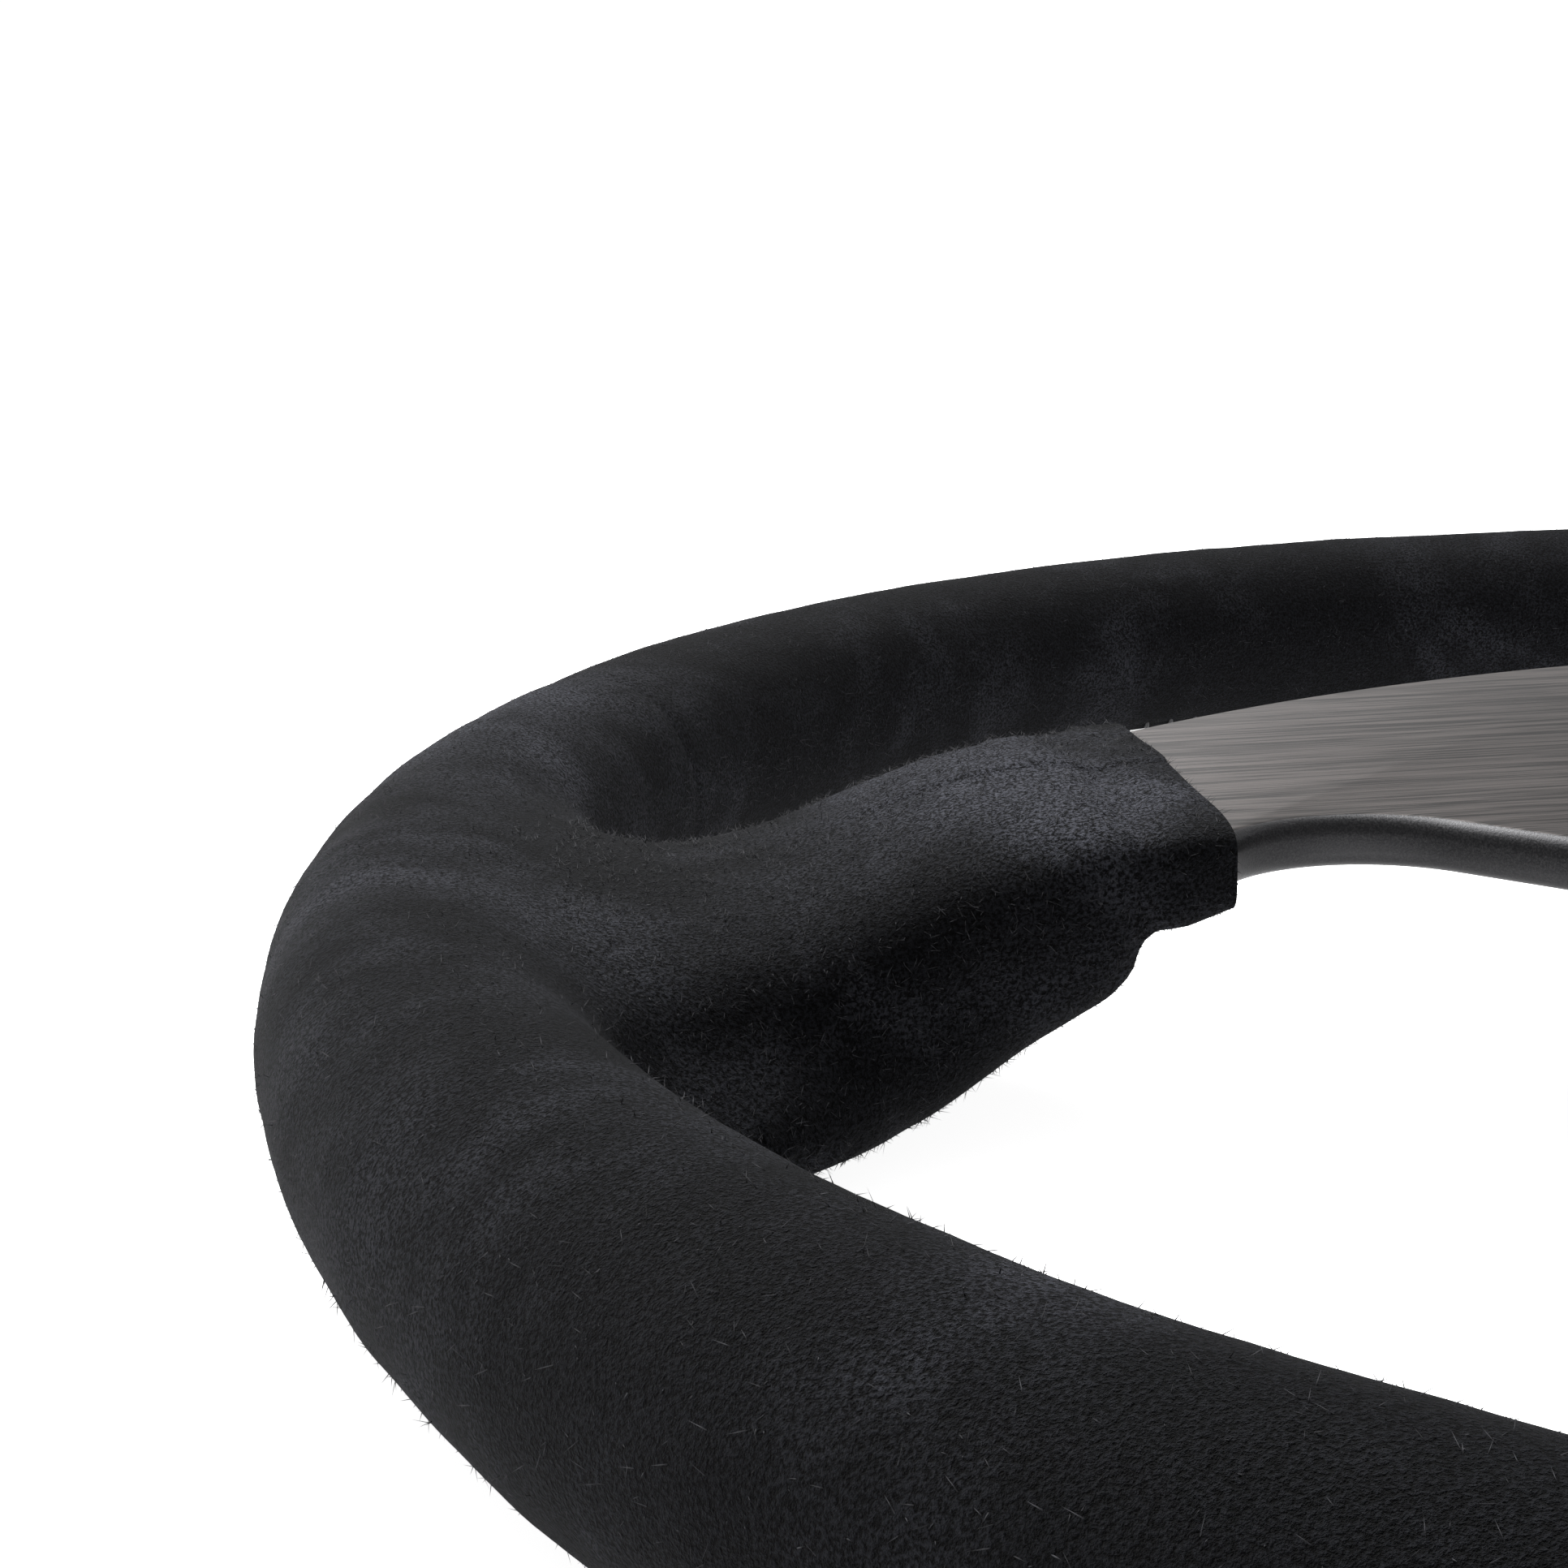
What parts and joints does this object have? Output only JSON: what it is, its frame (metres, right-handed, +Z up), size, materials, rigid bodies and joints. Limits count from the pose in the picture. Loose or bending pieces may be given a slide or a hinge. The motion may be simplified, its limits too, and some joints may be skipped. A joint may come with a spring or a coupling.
{
  "type": "quick release steering wheel",
  "caption": "Dished competition steering wheel with suede-covered rim and arms, horn button, and ball-lock quick release hub with a sliding collar.",
  "frame": {"origin": "under the wheel's centre, on the surface that the rim rests on", "axes": "+Z up along the column axis, towards the column; twelve o'clock on the rim is +Y; spokes along -X, +X and -Y"},
  "size_m": [0.35, 0.35, 0.0785],
  "materials": {
    "suede": "black suede, short nap",
    "foam": "moulded polyurethane foam",
    "steel": "bright steel",
    "anodised_plate": "brushed, dark anodised, satin edge",
    "hub_metal": "black anodised",
    "collar_metal": "satin anodised",
    "screw_steel": "black oxide",
    "black_plastic": "fine moulded texture",
    "rubber": "matt",
    "brass": "bright"
  },
  "bodies": {
    "wheel": {"suede_cover": "suede", "foam_grip": "foam", "rim_core": "steel", "spoke_plate": "anodised_plate", "release_hub": "hub_metal", "collar_stop_ring": "screw_steel", "collar_spring": "steel", "horn_ring": "hub_metal", "horn_housing": "black_plastic", "horn_terminal_1": "brass", "horn_terminal_2": "brass", "horn_spring": "steel", "wheel_screw_1": "screw_steel", "wheel_screw_2": "screw_steel", "wheel_screw_3": "screw_steel", "wheel_screw_4": "screw_steel", "wheel_screw_5": "screw_steel", "wheel_screw_6": "screw_steel"},
    "collar": {"release_collar": "collar_metal", "collar_grip_band": "rubber"},
    "button": {"horn_button": "black_plastic", "horn_contact_disc": "brass"},
    "ball_1": {"lock_ball_1": "steel"},
    "ball_2": {"lock_ball_2": "steel"},
    "ball_3": {"lock_ball_3": "steel"},
    "ball_4": {"lock_ball_4": "steel"},
    "ball_5": {"lock_ball_5": "steel"},
    "ball_6": {"lock_ball_6": "steel"}
  },
  "joints": [
    {"name": "collar_slide", "type": "slide", "parent": "wheel", "child": "collar", "axis": [0, 0, -1], "range_m": [0, 0.007], "stiffness_N_per_m": 1500, "springref_m": -0.006, "deforming": ["collar_spring"]},
    {"name": "horn_press", "type": "slide", "parent": "wheel", "child": "button", "axis": [0, 0, 1], "range_m": [0, 0.002], "stiffness_N_per_m": 800, "springref_m": -0.002, "deforming": ["horn_spring"]},
    {"name": "ball_1_slide", "type": "slide", "parent": "wheel", "child": "ball_1", "axis": [1, 0, 0], "range_m": [0, 0.0013]},
    {"name": "ball_2_slide", "type": "slide", "parent": "wheel", "child": "ball_2", "axis": [0.5, 0.866, 0], "range_m": [0, 0.0013]},
    {"name": "ball_3_slide", "type": "slide", "parent": "wheel", "child": "ball_3", "axis": [-0.5, 0.866, 0], "range_m": [0, 0.0013]},
    {"name": "ball_4_slide", "type": "slide", "parent": "wheel", "child": "ball_4", "axis": [-1, 0, 0], "range_m": [0, 0.0013]},
    {"name": "ball_5_slide", "type": "slide", "parent": "wheel", "child": "ball_5", "axis": [-0.5, -0.866, 0], "range_m": [0, 0.0013]},
    {"name": "ball_6_slide", "type": "slide", "parent": "wheel", "child": "ball_6", "axis": [0.5, -0.866, 0], "range_m": [0, 0.0013]}
  ],
  "couplings": [
    {"joint": "ball_1_slide", "follows": "collar_slide", "ratio": 0.1857},
    {"joint": "ball_2_slide", "follows": "collar_slide", "ratio": 0.1857},
    {"joint": "ball_3_slide", "follows": "collar_slide", "ratio": 0.1857},
    {"joint": "ball_4_slide", "follows": "collar_slide", "ratio": 0.1857},
    {"joint": "ball_5_slide", "follows": "collar_slide", "ratio": 0.1857},
    {"joint": "ball_6_slide", "follows": "collar_slide", "ratio": 0.1857}
  ]
}
